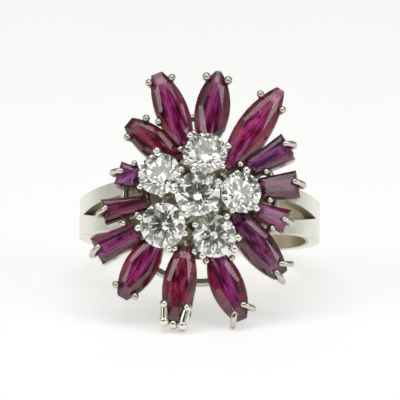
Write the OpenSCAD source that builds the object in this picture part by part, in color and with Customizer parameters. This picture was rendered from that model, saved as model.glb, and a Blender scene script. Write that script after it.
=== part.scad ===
/* [Shank] */
// Inside diameter of the finger hole
finger_d = 17.7; // [16.5:0.1:19]
// Thickness of the band
band_t = 1.15; // [1:0.05:1.5]
// Width of the band at the back of the finger
back_w = 2.1; // [1.6:0.1:3]
// Width of the band at the sides of the finger
side_w = 3.1; // [2.6:0.1:3.6]
// Width of the band under the head
top_w = 5.4; // [4.8:0.1:6]
// Height above the finger hole's middle where the band splits into two ridges
split_z = 2.7; // [2:0.1:5]
// Width of the groove between the ridges under the head
groove_w = 3; // [2:0.1:3.2]
// Metal left under the groove
floor_t = 0.4; // [0.3:0.05:0.6]

/* [Gallery] */
// Radius of the gallery ring under the head
ring_r = 4.4; // [4.2:0.1:4.6]
// Height of the gallery ring above the finger hole's middle
gallery_z = 10.25; // [10.2:0.05:10.3]
// Height of the spokes under the diamonds
hub_z = 10.1; // [10.05:0.05:10.15]
// Thickness of the gallery's ring and bars
wire_t = 0.65; // [0.6:0.05:0.7]
// Radius of the plate under the diamonds
plate_r = 3.2; // [3:0.05:3.2]

/* [Settings] */
// Thickness of the pierced wall under a ruby
wall_t = 0.32; // [0.28:0.02:0.4]
// Depth of the wall's upper edge below the girdle
wall_drop = 0.55; // [0.5:0.05:0.7]
// How far the wall stands outside the girdle
wall_out = 0.03; // [0:0.01:0.06]
// Thickness of a claw's wire
claw_t = 0.3; // [0.26:0.02:0.34]
// Diameter of the bead at a claw's end
bead_d = 0.56; // [0.5:0.02:0.56]
// Thickness of a hooked claw's wire
hook_t = 0.46; // [0.4:0.02:0.46]

/* [Resting] */
// How far the head's normal rises above the surface on which the ring lies
lean = 24; // [23.5:0.05:24.4]
// How far the head turns as the ring settles on its two lower settings
roll = -1; // [-3:0.1:3]

/* [Hidden] */
$fn = 64;
METAL = "#d9d8cc";
DIAMOND = "#e6ecec";
RUBY = "#7a1f45";
RUBY_VIOLET = "#6a2f68";
bore_r = finger_d / 2;
band_r = bore_r + band_t;
// Place of the finger hole's middle once the ring lies on its shank's back edge and two front settings
rest_y = 3.41;
rest_z = back_w / 2 * cos(lean) + band_r * sin(lean);
// Height of the plate's underside
plate_z = 11.45;
plate_t = 0.4;
// Width of the plate's lip, and how far it reaches from the head's middle
lip_w = 1.7;
lip_reach = 4.27;
// Thickness of the spokes and cross bars under the rubies
bar_d = 0.5;
// Height of a setting's foot above the gallery's middle
foot_rise = 0.08;
// Bars that show between the rubies: [from direction, to direction, radius]
GALLERY_ARCS = [[80, 118, 6.9], [-125, -62, 6.6], [-26, 36, 6.1], [156, 212, 6.1]];
// Posts between the shoulders and the gallery: [x, y, height of the foot]
POSTS = [[3.95, 1.95, 8.8], [6.05, 1.3, 7.5]];

// Round diamonds: [name, direction from the head's middle, distance, girdle height, outward tilt, diameter]
DIAMONDS = [
    ["diamond_centre", 210, 0.2, 14.9, 0, 3.6],
    ["diamond_1", 153, 3.65, 13.7, 12, 3.45],
    ["diamond_2", 83, 3.45, 13.7, 12, 3.45],
    ["diamond_3", 5, 3.3, 13.7, 12, 3.3],
    ["diamond_4", -69, 3.55, 13.7, 12, 3.45],
    ["diamond_5", -139, 3.85, 13.7, 12, 3.65]
];
// Claws around each round diamond: [direction in the stone's own turned frame, size]
DIAMOND_CLAWS = [
    [[35, 1], [110, 1], [180, 1], [250, 1], [325, 1]],
    [[-57, 1.1], [64, 1], [125, 0.9], [-145, 1]],
    [[-67, 1.1], [50, 1.1], [130, 1], [-125, 1]],
    [[-52, 1.1], [73, 1.2], [-120, 0.9], [160, 1]],
    [[-53, 1.1], [67, 1.1], [38, 1.25], [130, 1], [-140, 1]],
    [[-35, 1.1], [-60, 1], [66, 1.1], [120, 1], [170, 0.9]]
];

// Marquise rubies: [name, x, y, girdle height, heading, outward dip, length, width, width of the blunt tip]
MARQUISES = [
    ["marquise_1", -3.85, 4.65, 11.7, 142, 11, 5.3, 2.45, 1],
    ["marquise_2", -2.4, 7.3, 11.75, 113, 8, 6.6, 2.6, 0.9],
    ["marquise_3", 0.9, 7.4, 11.7, 82, 7, 6.5, 2.8, 0.4],
    ["marquise_4", 4.25, 5.85, 11.9, 57, 8, 8, 2.75, 0.7],
    ["marquise_5", 4.7, -3.65, 11.85, -50, 10, 6.3, 2.65, 1.2],
    ["marquise_6", 2.37, -7, 11.85, -67, 4, 5.95, 2.65, 0.9],
    ["marquise_7", -1.5, -7.05, 12.85, -98, 0, 6.1, 2.65, 0.95],
    ["marquise_8", -4.7, -5.6, 11.75, -120, 7, 5.75, 2.6, 0.8]
];
// Claws of each marquise: [share of the half length along it, side of it, size]
MARQUISE_CLAWS = [
    [[0.58, -1, 1.1], [0.66, 1, 1.1], [-0.86, -1, 1], [-0.32, 1, 1]],
    [[0.71, -1, 1.1], [0.8, 1, 1.1], [-0.2, 1, 1], [-0.8, -1, 1]],
    [[0.75, 1, 1.25], [0.74, -1, 1.25], [-0.8, 1, 1], [-0.86, -1, 1]],
    [[0.64, 1, 1.1], [0.62, -1, 1.1], [-0.74, 1, 1], [-0.8, -1, 1]],
    [[-0.86, 1, 1], [-0.62, -1, 1]],
    [[-0.62, 1, 1], [-0.8, -1, 1]],
    [[-0.86, 1, 1], [-0.86, -1, 1]],
    [[0.76, 1, 1.1], [0.76, -1, 1.1], [-0.86, 1, 1], [-0.86, -1, 1]]
];
// Hooked claws: [marquise, share of the half length, share of the half width there, direction]
MARQUISE_HOOKS = [
    [4, 1, -0.4, 0],
    [4, 0.84, 1, 52],
    [5, 0.92, -1, -30],
    [5, 0.74, 1, 50]
];
// The marquise whose outer end stands in a fluted cup
CUPPED = 6;
// Flutes of that cup: [place across it, how far out, height above the girdle]
FLUTES = [[-0.75, 0.14, 0.16], [0, 0.22, -0.3], [0.75, 0.25, 0.16]];
// Thickness of a flute
flute_d = 0.78;

// Tapered baguettes: [name, x, y, girdle height, heading, outward dip, length, outer width, inner width]
BAGUETTES = [
    ["baguette_1", 5.55, 3.5, 11.95, 33, 10, 3.8, 2.3, 1.35],
    ["baguette_2", 6.35, 1.1, 11.95, 10, 12, 3.25, 2.25, 1.7],
    ["baguette_3", 5.9, -1.3, 11.95, -19, 14, 2.6, 2, 1.15],
    ["baguette_4", -5.8, 1.75, 12.05, 163, 14, 1.8, 1.95, 1.65],
    ["baguette_5", -6, -0.8, 11.95, -168, 11, 3.7, 2.05, 1.15],
    ["baguette_6", -6.6, -3.6, 11.95, -155, 11, 3.75, 2.25, 1.6]
];
// Hooked claw at each baguette's outer end: [place across it, direction]
BAGUETTE_HOOKS = [[0, -25], [0, -20], [0, 0], [0, 15], [0, 25], [0, 20]];
// Small claws of each baguette: [share of the half length along it, side of it]
BAGUETTE_CLAWS = [
    [[-0.5, -1]],
    [[-0.6, -1]],
    [[0.2, -1]],
    [[-0.3, -1]],
    [[-0.5, 1]],
    [[-0.6, -1]]
];
// Corner that is cut off the outer end of a baguette, positive on its left side
BAGUETTE_CUTS = [-0.4, 0, 0, 0, 0, 0.4];
// Cut proportions, as shares of a round stone's diameter
table_share = 0.57;
crown_share = 0.148;
girdle_share = 0.03;
pavilion_share = 0.43;

// A point at an angle on a circle, at a height
function polar(r, a, z) = [r * cos(a), r * sin(a), z];

// Height over x, y of the plane through three points
function plane_z(p, q, r, x, y) =
    let (n = cross(q - p, r - p))
    p.z - (n.x * (x - p.x) + n.y * (y - p.y)) / n.z;

// Band half width at a height beside the finger
function band_half(z) = z < 0
    ? side_w / 2 - (side_w - back_w) / 2 * pow(-z / band_r, 1.5)
    : side_w / 2 + (top_w - side_w) / 2 * pow(z / band_r, 2.5);

// Radius of the two arcs of a boat shape with half length a, half width b and blunt half width e
function boat_r(a, b, e) = (a * a + (b - e) * (b - e)) / (2 * (b - e));

// Half width of a boat shape at x
function boat_half(a, b, e, x) =
    let (r = boat_r(a, b, e))
    sqrt(max(r * r - x * x, 0)) - (r - b);

// Outline of a boat shape, inset along and across, at a height
function boat_ring(a, b, e, kx, ky, z, n) = [
    for (side = [1, -1])
        for (i = [0 : n])
            let (x = a * cos(180 * i / n))
            [kx * x * side, ky * boat_half(a, b, e, x) * side, z]
];

// The convex stone whose corners are given
module cut_stone(corners) {
    hull()
        polyhedron(points = corners, faces = [[for (i = [0 : len(corners) - 1]) i]]);
}

// Puts its children at a stone's place in the head, with x outward along the stone
module at_place(x, y, z, heading, dip) {
    translate([x, y, z])
        rotate([0, 0, heading])
            rotate([0, dip, 0])
                children();
}

module at_diamond(d) {
    at_place(d[2] * cos(d[1]), d[2] * sin(d[1]), d[3], d[1], d[4])
        children();
}

module at_stone(s) {
    at_place(s[1], s[2], s[3], s[4], s[5])
        children();
}

// Lays the upright ring on its side, with the head towards the front
module resting() {
    translate([0, rest_y, rest_z])
        rotate([90 - lean, 0, 0])
            rotate([0, 0, roll])
                children();
}

// Round brilliant with a table, eight stars, eight kites and sixteen halves above the girdle
module brilliant(d) {
    r = d / 2;
    half = girdle_share * d / 2;
    crown = crown_share * d;
    depth = pavilion_share * d;
    table_r = table_share * r;
    star_r = 0.77 * r;
    low_r = 0.24 * r;
    step = 22.5;
    star_z = half + crown * (r - star_r * cos(step)) / (r - table_r);
    low_z = -half - depth * (r - low_r * cos(step)) / r;
    table = [for (i = [0 : 7]) polar(table_r, 2 * step * i, half + crown)];
    stars = [for (i = [0 : 7]) polar(star_r, 2 * step * i + step, star_z)];
    lows = [for (i = [0 : 7]) polar(low_r, 2 * step * i + step, low_z)];
    // Between two main points the girdle dips to the plane of the half facet there
    girdle = [
        for (i = [0 : 15], side = [1, -1])
            let (
                here = step * i,
                mid = here + step / 2,
                odd = floor(i / 2) * 2 * step + step,
                tip = side > 0 ? polar(star_r, odd, star_z) : polar(low_r, odd, low_z),
                p = polar(r, here, side * half),
                q = polar(r, here + step, side * half),
                m = polar(r, mid, 0)
            )
            each [p, [m.x, m.y, plane_z(tip, p, q, m.x, m.y)]]
    ];
    cut_stone(concat(table, stars, girdle, lows, [[0, 0, -half - depth]]));
}

// Marquise with a boat-shaped girdle, a six-sided table, star and main facets round it and a long pavilion
module marquise(a, b, e) {
    cut_stone(concat(
        boat_ring(a, b, e, 0.66, 0.56, 0.46, 2),
        boat_ring(a, b, e, 0.84, 0.8, 0.3, 4),
        boat_ring(a, b, e, 1, 1, 0.05, 14),
        boat_ring(a, b, e, 1, 1, -0.05, 14),
        boat_ring(a, b, e, 0.8, 0.62, -0.48, 6),
        boat_ring(a, b, e, 0.5, 0.27, -0.83, 4),
        [[0.3 * a, 0, -1.07], [-0.3 * a, 0, -1.07]]
    ));
}

// Half width of a tapered outline at x
function taper_half(a, wo, wi, x) = (wi + (wo - wi) * (x + a) / (2 * a)) / 2;

// Corners of a step of a tapered baguette's crown, at a share of the width, with one outer corner cut off
function taper_ring(a, wo, wi, cut, inset, share, z) =
    let (
        ax = a - inset,
        yo = share * taper_half(a, wo, wi, ax),
        yi = share * taper_half(a, wo, wi, -ax),
        c = max(share * abs(cut), 0.02),
        left = cut > 0 ? c : 0,
        right = cut < 0 ? c : 0
    )
    [
        [ax, yo - left, z], [ax - left, yo, z], [-ax, yi, z],
        [-ax, -yi, z], [ax - right, -yo, z], [ax, -yo + right, z]
    ];

// Corner of a step of its pavilion, which is as deep as it is wide there
function step_corner(a, wo, wi, x, share, drop) =
    let (half = taper_half(a, wo, wi, x))
    [x, share * half, -0.05 - drop * half];

// Corners of a step of its pavilion, at a share of the width and a drop below the girdle
function step_ring(a, wo, wi, cut, inset, share, drop) =
    let (
        ax = a - inset,
        c = max(share * abs(cut), 0.02),
        out = step_corner(a, wo, wi, ax, share, drop),
        back = step_corner(a, wo, wi, ax - c, share, drop),
        inner = step_corner(a, wo, wi, -ax, share, drop),
        left = [[out.x, out.y - c, out.z], back],
        right = [[out.x, c - out.y, out.z], [back.x, -back.y, back.z]]
    )
    concat(
        [inner, [inner.x, -inner.y, inner.z]],
        cut > 0 ? left : [out],
        cut < 0 ? right : [[out.x, -out.y, out.z]]
    );

// Tapered baguette with steps above and below the girdle and a keel along its middle
module baguette(a, wo, wi, cut) {
    keel = 0.93;
    cut_stone(concat(
        taper_ring(a, wo, wi, cut, 0.42, 0.52, 0.4),
        taper_ring(a, wo, wi, cut, 0.16, 0.8, 0.26),
        taper_ring(a, wo, wi, cut, 0, 1, 0.05),
        taper_ring(a, wo, wi, cut, 0, 1, -0.05),
        step_ring(a, wo, wi, cut, 0.28, 0.7, 0.34),
        step_ring(a, wo, wi, cut, 0.56, 0.37, 0.65),
        [step_corner(a, wo, wi, a - wo / 2, 0, keel), step_corner(a, wo, wi, wi / 2 - a, 0, keel)]
    ));
}

// A claw that curves up from under a stone, outside its girdle point, and ends in a bead on the crown
module claw(sweep = 52, size = 1) {
    arc_r = 1.28;
    tip = 14;
    translate([-1.1, 0, -0.05])
        rotate([90, 0, 0])
            rotate([0, 0, -sweep])
                rotate_extrude(angle = tip + sweep)
                    translate([arc_r, 0])
                        circle(d = claw_t, $fn = 32);
    translate([0.12 + (size - 1) * 0.05, 0, 0.33 + (size - 1) * 0.35])
        sphere(d = bead_d * size, $fn = 32);
}

// A thicker claw that bulges outward and is bent back over the stone's edge onto its crown
module hook() {
    arc_r = 0.85;
    foot = -75;
    tip = 96;
    translate([-0.35, 0, -0.19])
        rotate([90, 0, 0])
            rotate([0, 0, foot]) {
                rotate_extrude(angle = tip - foot)
                    translate([arc_r, 0])
                        circle(d = hook_t, $fn = 32);
                rotate([0, 0, tip - foot])
                    translate([arc_r, 0, 0])
                        sphere(d = hook_t, $fn = 32);
            }
}

// Little cup under the culet of a round stone, on a stem that goes down to the spokes
module round_cup(d, stem) {
    bottom = -pavilion_share * d - 0.45;
    rotate_extrude()
        polygon([
            [0, bottom], [0.55, bottom], [0.72, bottom + 0.6],
            [0.5, bottom + 0.6], [0.35, bottom + 0.3], [0, bottom + 0.3]
        ]);
    translate([0, 0, bottom - stem])
        cylinder(d = 0.7, h = stem + 0.1);
}

module round_setting(i) {
    d = DIAMONDS[i][5];
    stem = DIAMONDS[i][3] - hub_z - pavilion_share * d - 0.4;
    round_cup(d, stem);
    for (c = DIAMOND_CLAWS[i])
        rotate([0, 0, c[0]])
            translate([d / 2, 0, 0])
                claw(95, c[1]);
}

// Solid boat shape, grown outwards by a distance
module boat(a, b, e, grow, z0, z1) {
    r = boat_r(a, b, e);
    intersection() {
        translate([0, b - r, z0])
            cylinder(r = r + grow, h = z1 - z0);
        translate([0, r - b, z0])
            cylinder(r = r + grow, h = z1 - z0);
        translate([-a - grow, -b - grow, z0])
            cube([2 * (a + grow), 2 * (b + grow), z1 - z0]);
    }
}

// Holes across a setting's walls, half way between the rail and the gallery
module piercing(x, foot, w) {
    for (side = [1, -1])
        translate([side * x, 0, -(foot + wall_drop) / 2])
            rotate([90, 0, 0])
                cylinder(d = bar_d, h = 2 * w, center = true, $fn = 24);
}

// Bar across the foot of a setting, where its spoke ends
module cross_bar(foot, w) {
    translate([0, 0, -foot - 0.05])
        rotate([90, 0, 0])
            cylinder(d = bar_d, h = w, center = true, $fn = 24);
}

// Pierced boat-shaped wall under a marquise, with its claws
module marquise_setting(i) {
    m = MARQUISES[i];
    a = m[6] / 2;
    b = m[7] / 2;
    e = m[8] / 2;
    foot = m[3] - gallery_z - foot_rise;
    difference() {
        boat(a, b, e, wall_out, -foot, -wall_drop);
        boat(a, b, e, wall_out - wall_t, -foot - 1, 0);
        piercing(0.4 * a, foot, m[7]);
        // The wall's foot rises towards the outer end
        translate([0, 0, -foot])
            rotate([0, -12, 0])
                translate([-2 * a, -2 * b, -2])
                    cube([4 * a, 4 * b, 2]);
    }
    cross_bar(foot, m[7] - wall_t);
    for (c = MARQUISE_CLAWS[i])
        boat_claw(a, b, e, c[0] * a, c[1], c[2]);
    for (h = MARQUISE_HOOKS)
        if (h[0] == i)
            translate([h[1] * a, h[2] * boat_half(a, b, e, h[1] * a), 0])
                rotate([0, 0, h[3]])
                    hook();
}

// A claw outside the girdle of a boat-shaped stone, square to its outline at x
module boat_claw(a, b, e, x, side, size) {
    lean_in = asin(x / boat_r(a, b, e));
    translate([x, side * boat_half(a, b, e, x), 0])
        rotate([0, 0, side * (90 - lean_in)])
            claw(52, size);
}

// Round rod between two points
module rod(p, q, d) {
    v = q - p;
    translate(p)
        rotate([0, acos(v.z / norm(v)), atan2(v.y, v.x)])
            cylinder(d = d, h = norm(v), $fn = 48);
}

// Deep cup around the outer end of a marquise, made of three rounded flutes
module fluted_cup(i) {
    m = MARQUISES[i];
    a = m[6] / 2;
    b = m[7] / 2;
    e = m[8] / 2;
    foot = 0.95;
    rail_x = 0.62 * a;
    joint_d = flute_d + 0.02;
    difference() {
        union() {
            translate([rail_x, -1.05, -foot])
                cube([a - rail_x - 0.1, 2.1, foot]);
            translate([a / 3, b - 0.3, -foot])
                cube([a / 2, 0.3, foot]);
            for (f = FLUTES)
                translate([a + f[1], f[0], 0]) {
                    translate([0, 0, -foot])
                        cylinder(d = flute_d, h = foot + f[2], $fn = 48);
                    translate([0, 0, f[2]])
                        sphere(d = joint_d, $fn = 48);
                }
            // The outer flutes bend over and run along the stone's sides
            for (f = [FLUTES[0], FLUTES[2]])
                let (start = [rail_x, sign(f[0]) * (boat_half(a, b, e, rail_x) - 0.08), f[2]]) {
                    rod(start, [a + f[1], f[0], f[2]], flute_d - 0.05);
                    translate(start)
                        sphere(d = joint_d, $fn = 48);
                }
        }
        boat(a, b, e, 0.04, -wall_drop - 0.05, 0.37);
        boat(a, b, e, -0.24, 0, 1);
        boat(a, b, e, wall_out - wall_t, -foot - 1, 0);
    }
    for (side = [1, -1])
        translate([rail_x, side * (boat_half(a, b, e, rail_x) - 0.12), 0.58])
            sphere(d = 0.52, $fn = 32);
}

// Pierced four-sided wall under a baguette, with its claws
module baguette_setting(i) {
    b = BAGUETTES[i];
    a = b[6] / 2;
    foot = b[3] - gallery_z - foot_rise;
    difference() {
        translate([0, 0, -foot])
            linear_extrude(foot - wall_drop)
                taper(a, b[7], b[8], wall_out);
        translate([0, 0, -foot - 1])
            linear_extrude(foot + 1)
                taper(a, b[7], b[8], wall_out - wall_t);
        piercing(0.45 * a, foot, b[7]);
    }
    cross_bar(foot, (b[7] + b[8]) / 2 - wall_t);
    translate([a, BAGUETTE_HOOKS[i][0], 0])
        rotate([0, 0, BAGUETTE_HOOKS[i][1]])
            hook();
    for (c = BAGUETTE_CLAWS[i])
        translate([c[0] * a, c[1] * (taper_half(a, b[7], b[8], c[0] * a) + 0.05), 0])
            rotate([0, 0, c[1] * 90])
                claw(52, 0.9);
}

module taper(a, wo, wi, grow) {
    polygon([
        [a + grow, wo / 2 + grow], [-a - grow, wi / 2 + grow],
        [-a - grow, -wi / 2 - grow], [a + grow, -wo / 2 - grow]
    ]);
}

// Ring band around the finger, seen from the side as a tapered outline
module band() {
    steps = 20;
    edge = [for (i = [0 : steps]) let (z = -band_r - 0.1 + i * (2 * band_r + 0.2) / steps) [band_half(z), z]];
    intersection() {
        rotate([90, 0, 0])
            difference() {
                cylinder(r = band_r, h = 2 * top_w, center = true);
                cylinder(r = bore_r, h = 3 * top_w, center = true);
            }
        rotate([90, 0, 90])
            linear_extrude(3 * band_r, center = true)
                polygon(concat(edge, [for (i = [steps : -1 : 0]) [-edge[i].x, edge[i].y]]));
    }
}

// Groove that splits each shoulder into two ridges
module groove() {
    difference() {
        rotate([90, 0, 90])
            linear_extrude(3 * band_r, center = true)
                polygon([[0, split_z], [groove_w / 2, band_r + 0.5], [-groove_w / 2, band_r + 0.5]]);
        rotate([90, 0, 0])
            cylinder(r = bore_r + floor_t, h = 3 * top_w, center = true);
    }
}

module shank() {
    difference() {
        band();
        groove();
        cylinder(d = 2.8, h = 2 * band_r);
    }
}

// Spoke from the gallery ring to the middle of a ruby's setting
module ruby_spoke(s) {
    translate([s[1], s[2], gallery_z])
        rotate([0, 0, s[4]])
            rotate([0, -90, 0])
                translate([0, 0, -0.3])
                    cylinder(d = bar_d, h = norm([s[1], s[2]]) - ring_r + 0.7, $fn = 24);
}

// Ring, plate and bars under the stones, with spokes between them and posts to the shoulders
module gallery() {
    translate([0, 0, gallery_z])
        rotate_extrude()
            translate([ring_r, 0])
                circle(d = wire_t);
    for (arc = GALLERY_ARCS)
        translate([0, 0, gallery_z])
            rotate([0, 0, arc[0]])
                rotate_extrude(angle = arc[1] - arc[0])
                    translate([arc[2], 0])
                        circle(d = wire_t);
    translate([0, 0, hub_z - 0.4])
        cylinder(d = 1.5, h = 0.8);
    for (i = [1 : len(DIAMONDS) - 1])
        rotate([0, 0, DIAMONDS[i][1]])
            translate([0.6, 0, hub_z])
                rotate([0, 90, 0])
                    cylinder(d = wire_t, h = ring_r - 0.6);
    for (m = MARQUISES)
        ruby_spoke(m);
    for (b = BAGUETTES)
        ruby_spoke(b);
    for (p = POSTS, side = [1, -1], edge = [1, -1])
        translate([side * p[0], edge * p[1], p[2]])
            cylinder(d = 0.9, h = gallery_z - p[2]);
}

// Direction of the gap between an outer diamond and the next one
function gap_direction(i) =
    let (next = i < 5 ? DIAMONDS[i + 1][1] : DIAMONDS[1][1] - 360)
    (DIAMONDS[i][1] + next) / 2;

// Plate that joins the diamonds' cups, with a hole under each gap and a lip to the cupped stone's wall
module plate() {
    difference() {
        union() {
            translate([0, 0, plate_z])
                cylinder(r = plate_r, h = plate_t);
            rotate([0, 0, gap_direction(4)])
                translate([plate_r - 0.4, -lip_w / 2, plate_z + 0.02])
                    cube([lip_reach - plate_r + 0.4, lip_w, plate_t - 0.04]);
        }
        for (i = [1 : 5])
            rotate([0, 0, gap_direction(i)])
                translate([2.3, 0, plate_z - 0.5])
                    cylinder(d = 0.7, h = plate_t + 1, $fn = 24);
    }
}

module ring_mount() {
    color(METAL) {
        shank();
        gallery();
        plate();
        for (i = [0 : len(DIAMONDS) - 1])
            at_diamond(DIAMONDS[i])
                round_setting(i);
        for (i = [0 : len(MARQUISES) - 1])
            at_stone(MARQUISES[i])
                marquise_setting(i);
        at_stone(MARQUISES[CUPPED])
            fluted_cup(CUPPED);
        for (i = [0 : len(BAGUETTES) - 1])
            at_stone(BAGUETTES[i])
                baguette_setting(i);
    }
}

module diamond_stone(i) {
    color(DIAMOND)
        at_diamond(DIAMONDS[i])
            brilliant(DIAMONDS[i][5]);
}

module marquise_stone(i) {
    m = MARQUISES[i];
    color(RUBY)
        at_stone(m)
            marquise(m[6] / 2, m[7] / 2, m[8] / 2);
}

module baguette_stone(i) {
    b = BAGUETTES[i];
    color(i == 0 || i == 3 ? RUBY_VIOLET : RUBY)
        at_stone(b)
            baguette(b[6] / 2, b[7], b[8], BAGUETTE_CUTS[i]);
}

resting() ring_mount();
for (i = [0 : len(DIAMONDS) - 1])
    resting() diamond_stone(i);
for (i = [0 : len(MARQUISES) - 1])
    resting() marquise_stone(i);
for (i = [0 : len(BAGUETTES) - 1])
    resting() baguette_stone(i);
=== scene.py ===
from math import cos, pi, radians, sin

import bpy
from mathutils import Matrix, Vector

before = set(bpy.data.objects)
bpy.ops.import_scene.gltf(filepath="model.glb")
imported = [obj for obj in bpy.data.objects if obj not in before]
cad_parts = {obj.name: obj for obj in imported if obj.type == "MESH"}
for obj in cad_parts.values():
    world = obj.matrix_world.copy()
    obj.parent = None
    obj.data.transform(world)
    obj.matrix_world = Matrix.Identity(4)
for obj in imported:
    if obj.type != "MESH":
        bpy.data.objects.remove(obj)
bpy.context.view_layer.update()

# The table: a sheet of smooth white card on a light box, far larger than the ring that lies on it.
# It is a plain stage, with the faint tooth of real card, and the box below it keeps the shadows pale.
CARD_HALF = 1.5
CARD_WHITE = (0.76, 0.765, 0.78)
CARD_HOLLOW = tuple(0.985 * c for c in CARD_WHITE)
LIGHT_BOX_GLOW = 0.47


class Shade:
    """One output in a node tree. Sums of shades and numbers add their own Math nodes."""

    def __init__(self, tree, socket=None):
        self.tree = tree
        self.socket = socket

    def node(self, kind, settings=(), inputs=(), output=0):
        """Adds a node: its settings first, then its sockets' values or links. Gives one of its outputs."""
        made = self.tree.nodes.new(kind)
        for name, value in dict(settings).items():
            setattr(made, name, value)
        for name, value in dict(inputs).items():
            if isinstance(value, Shade):
                self.tree.links.new(value.socket, made.inputs[name])
            else:
                made.inputs[name].default_value = value
        return Shade(self.tree, made.outputs[output] if made.outputs else None)

    def maths(self, operation, *others):
        """A Math node on this number and the others."""
        return self.node("ShaderNodeMath", {"operation": operation}, enumerate((self, *others)))

    def __add__(self, other):
        return self.maths("ADD", other)

    __radd__ = __add__

    def __sub__(self, other):
        return self.maths("SUBTRACT", other)

    def __rsub__(self, other):
        return -1 * self + other

    def __mul__(self, other):
        return self.maths("MULTIPLY", other)

    __rmul__ = __mul__

    def __abs__(self):
        return self.maths("ABSOLUTE")

    def hypot(self, other):
        """The distance that two offsets at right angles make."""
        return (self * self + other * other).maths("SQRT")

    def clip(self):
        """The number held between 0 and 1."""
        return self.maths("MINIMUM", 1).maths("MAXIMUM", 0)

    def step(self, low, high):
        """0 below low, 1 above high, and a smooth rise between. With low over high it falls instead."""
        share = ((self - low) * (1 / (high - low))).clip()
        return share * share * (3 - 2 * share)

    def between(self, start, full, fade, end):
        """0 up to start, 1 from full to fade, 0 again after end, and smooth between them."""
        return self.step(start, full) * self.step(end, fade)

    def along(self, axis, start=(0, 0, 0)):
        """How far this place lies from start along an axis."""
        reach = self.node("ShaderNodeVectorMath", {"operation": "DOT_PRODUCT"}, {0: self, 1: axis}, "Value")
        return reach - Vector(start).dot(Vector(axis))

    def speckle(self, waves, detail=2, stretch=(1, 1, 1)):
        """Soft noise from 0 to 1, with so many waves a metre. A stretch under 1 draws it out that way."""
        place = self.node("ShaderNodeVectorMath", {"operation": "MULTIPLY"}, {0: self, 1: stretch})
        return self.node("ShaderNodeTexNoise", (), {"Vector": place, "Scale": waves, "Detail": detail})

    def blend(self, first, second):
        """A colour between two, by this share of the second."""
        first, second = ((*c, 1) if isinstance(c, tuple) else c for c in (first, second))
        return self.node("ShaderNodeMix", {"data_type": "RGBA"}, {0: self, 6: first, 7: second}, 2)


def bare(finish, coordinate="Object"):
    """Clears the nodes of a finish and gives the place on the piece, in metres, or a world's direction."""
    finish.use_nodes = True
    finish.node_tree.nodes.clear()
    return Shade(finish.node_tree).node("ShaderNodeTexCoord", output=coordinate)


scene = bpy.context.scene
card = bpy.data.meshes.new("card")
card.from_pydata(
    [(x * CARD_HALF, y * CARD_HALF, 0) for x, y in ((-1, -1), (1, -1), (1, 1), (-1, 1))], [], [(0, 1, 2, 3)]
)
floor = bpy.data.objects.new("card_floor", card)
scene.collection.objects.link(floor)
white_card = bpy.data.materials.new("white_card")
place = bare(white_card)
tooth = place.speckle(waves=3000, detail=4)
paper = place.node("ShaderNodeBsdfPrincipled", (), {
    "Base Color": tooth.blend(CARD_WHITE, CARD_HOLLOW),
    "Roughness": 0.6,
    "Specular IOR Level": 0.2,
    "Emission Color": (1, 1, 0.995, 1),
    "Emission Strength": LIGHT_BOX_GLOW,
})
place.node("ShaderNodeOutputMaterial", (), {"Surface": paper})
card.materials.append(white_card)

# The light: a pale studio with a large soft box overhead, one at each side and two small ones in front,
# as for small jewels. The room has white walls at both sides, dark flags and brown furniture between,
# and is dim straight in front of the head.
PALE_WALL = (0.86, 0.85, 0.82)
GREY_SCREEN = (0.3, 0.31, 0.28)
BROWN_FLAG = (0.06, 0.052, 0.036)
ROOM_LIGHT = 0.62
FRONT_DIMMED = 0.75
HEAD_FACES = (0, -0.88, 0.47)

studio = bpy.data.worlds.new("studio")
look = bare(studio, "Generated")
front = look.along(HEAD_FACES).step(0.74, 0.93)
side_walls = abs(look.along((1, 0, 0))).step(0.84, 0.95)
clutter = look.speckle(waves=3.4, detail=3)
furniture = clutter.step(0.38, 0.46).blend(BROWN_FLAG, GREY_SCREEN)
room = side_walls.blend(clutter.step(0.5, 0.56).blend(furniture, PALE_WALL), PALE_WALL)
air = look.node("ShaderNodeBackground", (), {
    "Color": room,
    "Strength": ROOM_LIGHT * (1 - FRONT_DIMMED * front),
})
look.node("ShaderNodeOutputWorld", (), {"Surface": air})
scene.world = studio

# Each soft box: its name, azimuth from straight in front, elevation, distance, width, height, brightness
SOFT_BOXES = [
    ("overhead", 0, 78, 0.55, 0.5, 0.45, 1.6),
    ("left", -55, 34, 0.5, 0.21, 0.2, 2.4),
    ("right", 55, 35, 0.5, 0.2, 0.2, 2.4),
    ("left card", -31, 44.5, 0.5, 0.055, 0.05, 1.8),
    ("right card", 29, 29, 0.5, 0.07, 0.16, 1.7),
]
LIGHT_WHITE = (1, 0.99, 0.97)
LIT_SPOT = Vector((0, -0.002, 0.008))
for name, azimuth, elevation, away, width, height, brightness in SOFT_BOXES:
    azimuth = radians(azimuth)
    elevation = radians(elevation)
    outwards = Vector((sin(azimuth) * cos(elevation), -cos(azimuth) * cos(elevation), sin(elevation)))
    light = bpy.data.lights.new(name, "AREA")
    light.shape = "RECTANGLE"
    light.size = width
    light.size_y = height
    light.energy = brightness * pi * width * height
    light.color = LIGHT_WHITE
    lamp = bpy.data.objects.new(name, light)
    lamp.location = LIT_SPOT + away * outwards
    lamp.rotation_mode = "QUATERNION"
    lamp.rotation_quaternion = (-outwards).to_track_quat("-Z", "Y")
    scene.collection.objects.link(lamp)

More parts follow.
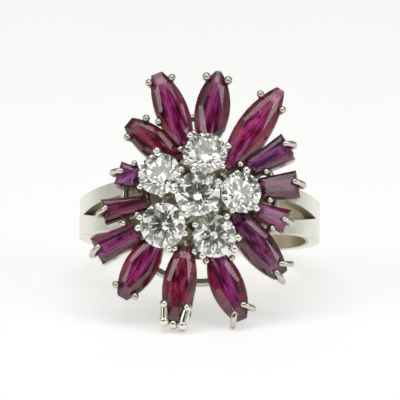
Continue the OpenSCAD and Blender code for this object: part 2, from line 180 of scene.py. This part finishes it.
# The camera: a long lens a little above the table, looking at the head from almost straight in front.
# It stands where the photograph's camera stood, seen from the ring, and aims just over the middle of the
# finger hole. Light may bounce often enough to find its way out of the stones.
LIFT = radians(14.7)
AWAY = 0.35
LENS = 378
SENSOR = 36
STONE_BOUNCES = 24
METAL_BOUNCES = 8
HOLE_MIDDLE = Vector((0, 0.00341, 0.005027))
AIM_RIGHT = Vector((0.000025, 0, 0))
AIM_OVER = 0.0018125
up = Vector((0, sin(LIFT), cos(LIFT)))
towards = Vector((0, -cos(LIFT), sin(LIFT)))
camera = bpy.data.cameras.new("camera")
camera.sensor_width = SENSOR
camera.lens = LENS
eye = bpy.data.objects.new("camera", camera)
eye.location = HOLE_MIDDLE + AIM_OVER * up + AIM_RIGHT + AWAY * towards
eye.rotation_mode = "QUATERNION"
eye.rotation_quaternion = (-towards).to_track_quat("-Z", "Y")
scene.collection.objects.link(eye)
scene.camera = eye
scene.view_settings.view_transform = "Standard"
scene.cycles.max_bounces = STONE_BOUNCES
scene.cycles.transmission_bounces = STONE_BOUNCES
scene.cycles.glossy_bounces = METAL_BOUNCES

# The mount: 18 carat white gold with a rhodium flash, cast and soldered in one, then polished.
# Hairline scratches dull the band and the claws stay bright. Painted shade darkens what lies deep and the
# bore, with some dust in the groove. The plate under the diamonds has rough solder lumps with painted
# glints.
LEAN = radians(24)
ROLL = radians(-1)
BAND_OUTSIDE = 0.01
BRIGHT_GOLD = (0.885, 0.875, 0.8)
WORN_GOLD = (0.765, 0.755, 0.66)
# The next three golds are painted shade: for deep places, for the groove with some dust, and for the bore.
SHADY_GOLD = (0.28, 0.225, 0.15)
DUST_AND_SHADE_GOLD = (0.52, 0.465, 0.335)
SHADED_BORE_GOLD = (0.66, 0.57, 0.43)
GOLD_EDGE = 0.00007
SCRATCH_DEPTH = 0.000015
SOLDER_LUMPS = 60
CREVICE_WIDTH = 0.0006

# Where a finish starts and is full, or starts, is full, fades and ends, in metres. A radius is from the
# finger's axis, a height is over it, a reach is from the head's own axis, and a half is to either side.
BAND_HEIGHT = (0.0104, 0.0096)
BORE_RADIUS = (0.0092, 0.00895)
BORE_HALF = (0.0071, 0.0086)
GROOVE_HALF = (0.00175, 0.0014)
GROOVE_RADIUS = (0.0091, 0.0092, 0.0097, 0.00995)
GROOVE_HEIGHT = (0.0015, 0.003)
GALLERY_HEIGHT = (0.0094, 0.0102, 0.0116, 0.0134)
PLATE_REACH = (0.0056, 0.0050)
PLATE_HEIGHT = (0.0106, 0.0110, 0.0122, 0.0128)
UNDER_PLATE_REACH = (0.0056, 0.0046)
UNDER_PLATE_HEIGHT = (0.0089, 0.0092, 0.0106, 0.0110)
CREVICE_RADIUS = (0.0106, 0.0112)
CREVICE_OPENNESS = (0.5, 0.12)


def worn_edges(place, width):
    """The way the surface faces, with its edges rounded by wear as wide as this."""
    return place.node("ShaderNodeBevel", {"samples": 4}, {"Radius": width})


def dress(piece, material):
    """Makes a material the only one on a piece."""
    piece.data.materials.clear()
    piece.data.materials.append(material)


turned = Matrix.Rotation(pi / 2 - LEAN, 3, "X") @ Matrix.Rotation(ROLL, 3, "Z")
across, along_finger, outward = (turned.col[i].copy() for i in range(3))
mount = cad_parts["ring_mount"]
gold = bpy.data.materials.new("polished_white_gold")
place = bare(gold)
height = place.along(outward, HOLE_MIDDLE)
side = place.along(along_finger, HOLE_MIDDLE)
span = place.along(across, HOLE_MIDDLE)
radius = height.hypot(span)
reach = span.hypot(side)
turn = span.maths("ARCTAN2", height) * BAND_OUTSIDE
unrolled_band = place.node("ShaderNodeCombineXYZ", (), {0: turn, 1: side, 2: radius})

on_band = height.step(*BAND_HEIGHT)
bore = radius.step(*BORE_RADIUS)
bore_sides = abs(span).step(*BORE_HALF)
groove = abs(side).step(*GROOVE_HALF) * radius.between(*GROOVE_RADIUS) * height.step(*GROOVE_HEIGHT)
gallery = height.between(*GALLERY_HEIGHT)
plate = reach.step(*PLATE_REACH) * height.between(*PLATE_HEIGHT)
under_plate = reach.step(*UNDER_PLATE_REACH) * height.between(*UNDER_PLATE_HEIGHT)
# Ambient occlusion finds the crevices, which get painted shade.
openness = place.node("ShaderNodeAmbientOcclusion", {"samples": 6}, {"Distance": CREVICE_WIDTH}, "AO")
crevice = openness.step(*CREVICE_OPENNESS) * radius.step(*CREVICE_RADIUS)

cloud = place.speckle(waves=700, detail=3)
hairs = unrolled_band.speckle(waves=9000, detail=3, stretch=(0.06, 1, 1)) * on_band
pits = place.speckle(waves=14000)
# Solder lumps on the plate: bumps, and a lighter tone there as painted glints.
solder_and_glints = place.speckle(waves=3400, detail=3).step(0.44, 0.55) * plate

# Painted shade, with some dust, darkens the groove. Painted shade lies round the gallery, in crevices, on
# the plate and on the band under the head, but leaves the solder there lighter, as painted glints.
groove_dust_and_shade = groove * (0.6 + 0.4 * cloud)
painted_shade = 0.6 * gallery * (0.7 + 0.3 * cloud) * (1 - 0.75 * solder_and_glints) + 0.5 * (plate - solder_and_glints)
painted_shade = (painted_shade + 0.5 * crevice + 0.55 * under_plate).clip()
dust_and_painted_shade = (groove_dust_and_shade + painted_shade).clip()
tone = groove_dust_and_shade.blend(cloud.blend(BRIGHT_GOLD, WORN_GOLD), DUST_AND_SHADE_GOLD)
tone = painted_shade.blend(tone, SHADY_GOLD)
# Painted shade inside the bore, darker still towards its sides.
tone = (0.8 * bore).blend(tone, bore_sides.blend(SHADED_BORE_GOLD, SHADY_GOLD))
dents = place.node("ShaderNodeBump", (), {
    "Strength": 0.1,
    "Distance": SCRATCH_DEPTH,
    "Height": 0.6 * hairs + 0.4 * pits + SOLDER_LUMPS * solder_and_glints,
    "Normal": worn_edges(place, GOLD_EDGE),
})
metal = place.node("ShaderNodeBsdfPrincipled", (), {
    "Base Color": tone,
    "Metallic": 1.0,
    "Roughness": 0.03 + 0.17 * on_band + 0.12 * hairs + 0.05 * pits + 0.4 * dust_and_painted_shade,
    "Normal": dents,
})
place.node("ShaderNodeOutputMaterial", (), {"Surface": metal})
dress(mount, gold)

# The six diamonds: round brilliants of clear carbon crystal, cut in eights and highly polished.
# Each is held over its cup by claws, and has a breath of soap film, warm in patches and cool between.
DIAMOND_BEND = 2.417
DIAMOND_EDGE = 0.00003
WARM_FILM = (0.98, 0.965, 0.89)
COOL_FILMS = {
    "diamond_centre": (0.95, 0.985, 1.0),
    "diamond_1": (1.0, 1.0, 0.97),
    "diamond_2": (0.96, 0.995, 0.97),
    "diamond_3": (0.91, 0.925, 0.905),
    "diamond_4": (0.955, 0.99, 0.955),
    "diamond_5": (0.95, 0.98, 0.95),
}

for name, cool_film in COOL_FILMS.items():
    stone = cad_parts[name]
    crystal = bpy.data.materials.new(name + "_crystal")
    place = bare(crystal)
    film = place.speckle(waves=1900, detail=3)
    clear = place.node("ShaderNodeBsdfPrincipled", (), {
        "Base Color": film.step(0.4, 0.62).blend(cool_film, WARM_FILM),
        "Roughness": 0.004 * film,
        "IOR": DIAMOND_BEND,
        "Transmission Weight": 1.0,
        "Normal": worn_edges(place, DIAMOND_EDGE),
    })
    place.node("ShaderNodeOutputMaterial", (), {"Surface": clear})
    dress(stone, crystal)

# The fourteen rubies: red corundum, eight cut as boats and six as tapered sticks, polished all over and
# held by claws. The red deepens along the light's path, and fine silk along each stone scatters some of
# the light. The silk has painted light in the core, painted shade at the rim, and darkens at the outer end.
RUBY_BEND = 1.77
RUBY_EDGE = 0.00004
CLEAR_RED = ((1.0, 0.8, 0.9), (0.98, 0.66, 0.8))
# The pale colour of the painted flashes in a stone's core
PALE_FLASH = (1.0, 0.55, 0.86)
# The dark red a stone takes towards its outer end
DARKENED_RED = (0.11, 0.012, 0.022)
HEAD_HEIGHT = 0.0125
MM_IN_METRE = 1000

# Where a stone's core fades to either side, how far the core and the darker tip stray, the heights over
# which the silk thickens below the girdle, and how far under the table its side steps start, in metres
CORE_HALF = (0.0009, 0.0003)
CORE_STRAY = 0.0006
TIP_STRAY = 0.001
BELOW_GIRDLE = (0.0001, -0.0002)
TABLE_DROP = (0.00003, 0.00009)

# Each stone's light lost in a millimetre, for red, green and blue, its red at the rim with painted shade
# and in the core with painted light, and how fast the silk changes along the stone, as a share of how fast
# across
RUBIES = {
    "marquise_1": ((0.5, 1.4, 1.0), (0.44, 0.015, 0.05), (0.66, 0.02, 0.12), 0.2),
    "marquise_2": ((0.38, 1.2, 0.7), (0.6, 0.02, 0.12), (0.9, 0.05, 0.45), 0.11),
    "marquise_3": ((0.42, 1.1, 0.65), (0.42, 0.02, 0.08), (0.66, 0.045, 0.36), 0.11),
    "marquise_4": ((0.28, 1.2, 0.75), (0.76, 0.024, 0.13), (0.92, 0.045, 0.46), 0.15),
    "marquise_5": ((0.5, 1.0, 0.65), (0.37, 0.024, 0.11), (0.45, 0.042, 0.3), 0.2),
    "marquise_6": ((0.34, 1.0, 0.6), (0.7, 0.03, 0.13), (0.9, 0.06, 0.5), 0.11),
    "marquise_7": ((0.34, 1.3, 0.95), (0.52, 0.022, 0.075), (0.68, 0.03, 0.19), 0.3),
    "marquise_8": ((0.32, 1.15, 0.72), (0.76, 0.026, 0.12), (0.94, 0.06, 0.52), 0.11),
    "baguette_1": ((0.5, 1.4, 0.6), (0.38, 0.03, 0.17), (0.52, 0.09, 0.46), 0.04),
    "baguette_2": ((0.5, 1.1, 0.7), (0.22, 0.015, 0.085), (0.47, 0.08, 0.28), 0.04),
    "baguette_3": ((0.22, 0.85, 0.42), (0.7, 0.035, 0.24), (1.0, 0.17, 0.66), 0.04),
    "baguette_4": ((0.45, 0.95, 0.4), (0.32, 0.02, 0.21), (0.8, 0.09, 0.66), 0.04),
    "baguette_5": ((0.38, 1.3, 0.85), (0.36, 0.02, 0.075), (0.46, 0.03, 0.17), 0.04),
    "baguette_6": ((0.34, 0.85, 0.5), (0.5, 0.03, 0.19), (0.68, 0.06, 0.42), 0.03),
}


def widest_way(spread, way, turns=40):
    """The direction in which points spread most, by turning a first guess towards it time and again."""
    for _ in range(turns):
        way = (spread @ way).normalized()
    return way


def stone_axes(stone):
    """A stone's middle, its ways out of the head and out of its table, and how far it reaches on each."""
    points = [stone.matrix_world @ v.co for v in stone.data.vertices]
    middle = sum(points, Vector()) / len(points)
    spread = Matrix(((0, 0, 0),) * 3)
    for p in points:
        offset = MM_IN_METRE * (p - middle)
        spread += Matrix([[u * v for v in offset] for u in offset])
    long_way = widest_way(spread, Vector((1, 0.3, 0.2)))
    thin_way = widest_way(spread.inverted(), outward)
    head_middle = HOLE_MIDDLE + HEAD_HEIGHT * outward
    if long_way.dot(middle - head_middle) < 0:
        long_way = -long_way
    if thin_way.dot(outward) < 0:
        thin_way = -thin_way
    half, crown = (max((p - middle).dot(way) for p in points) for way in (long_way, thin_way))
    return middle, long_way, thin_way, half, crown


for name, (loss, rim_red_and_shade, core_red_and_light, lay) in RUBIES.items():
    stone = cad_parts[name]
    corundum = bpy.data.materials.new(name + "_corundum")
    place = bare(corundum)
    middle, long_way, thin_way, half, crown = stone_axes(stone)
    length = place.along(long_way, middle)
    width = place.along(thin_way.cross(long_way), middle)
    depth = place.along(thin_way, middle)
    in_stone = place.node("ShaderNodeCombineXYZ", (), {0: length, 1: width, 2: depth})

    # Silk clouds the stone, with bands of painted light and shade, and painted flashes in the core towards
    # the head
    silk = in_stone.speckle(waves=1900, detail=3, stretch=(0.45, 1, 1))
    bands = in_stone.speckle(waves=3800, stretch=(lay, 1, 0.3)).step(0.4, 0.56)
    streaks = in_stone.speckle(waves=4600, stretch=(lay, 1, 0.3))
    flash = (streaks - length * (0.08 / half)).step(0.56, 0.64)
    # A paler core and a darker rim: painted light and shade over the stone's red
    core = (abs(width) + CORE_STRAY * (silk - 0.5)).step(*CORE_HALF)
    painted_flash_colour = tuple(0.25 * p + min(0.75, 1.1 * c) for p, c in zip(PALE_FLASH, core_red_and_light))
    glow = (flash * core).blend(core.blend(rim_red_and_shade, core_red_and_light), painted_flash_colour)
    shade = core.blend(tuple(0.12 * c for c in rim_red_and_shade), tuple(0.14 * c for c in core_red_and_light))

    # The silk's share of the light grows with depth; the red darkens towards the outer end and on a stick's
    # side steps
    share = (0.3 + 0.25 * depth.step(*BELOW_GIRDLE)) * (0.5 + silk)
    if name.startswith("marquise"):
        tip = length + TIP_STRAY * (in_stone.speckle(waves=1300) - 0.5)
        darkening = 0.75 * tip.step(0.1 * half, 0.6 * half)
    else:
        side_steps = depth.step(*(crown - drop for drop in TABLE_DROP))
        darkening = 0.3 * side_steps + 0.3 * length.step(0.4 * half, 0.9 * half)
        share = (share + 0.15 * side_steps).clip()

    facets = worn_edges(place, RUBY_EDGE)
    glassy = place.node("ShaderNodeBsdfPrincipled", (), {
        "Base Color": silk.blend(*CLEAR_RED),
        "Roughness": 0.01 + 0.02 * silk,
        "IOR": RUBY_BEND,
        "Transmission Weight": 1.0,
        "Normal": facets,
    })
    silky = place.node("ShaderNodeBsdfPrincipled", (), {
        "Base Color": darkening.blend(bands.blend(shade, glow), DARKENED_RED),
        "Roughness": 0.08 + 0.1 * bands,
        "IOR": RUBY_BEND,
        "Normal": facets,
    })
    most = max(loss)
    body = place.node("ShaderNodeVolumeAbsorption", (), {
        "Color": (*(1 - part / most for part in loss), 1),
        "Density": MM_IN_METRE * most,
    })
    mixed = place.node("ShaderNodeMixShader", (), {0: share, 1: glassy, 2: silky})
    place.node("ShaderNodeOutputMaterial", (), {"Surface": mixed, "Volume": body})
    dress(stone, corundum)
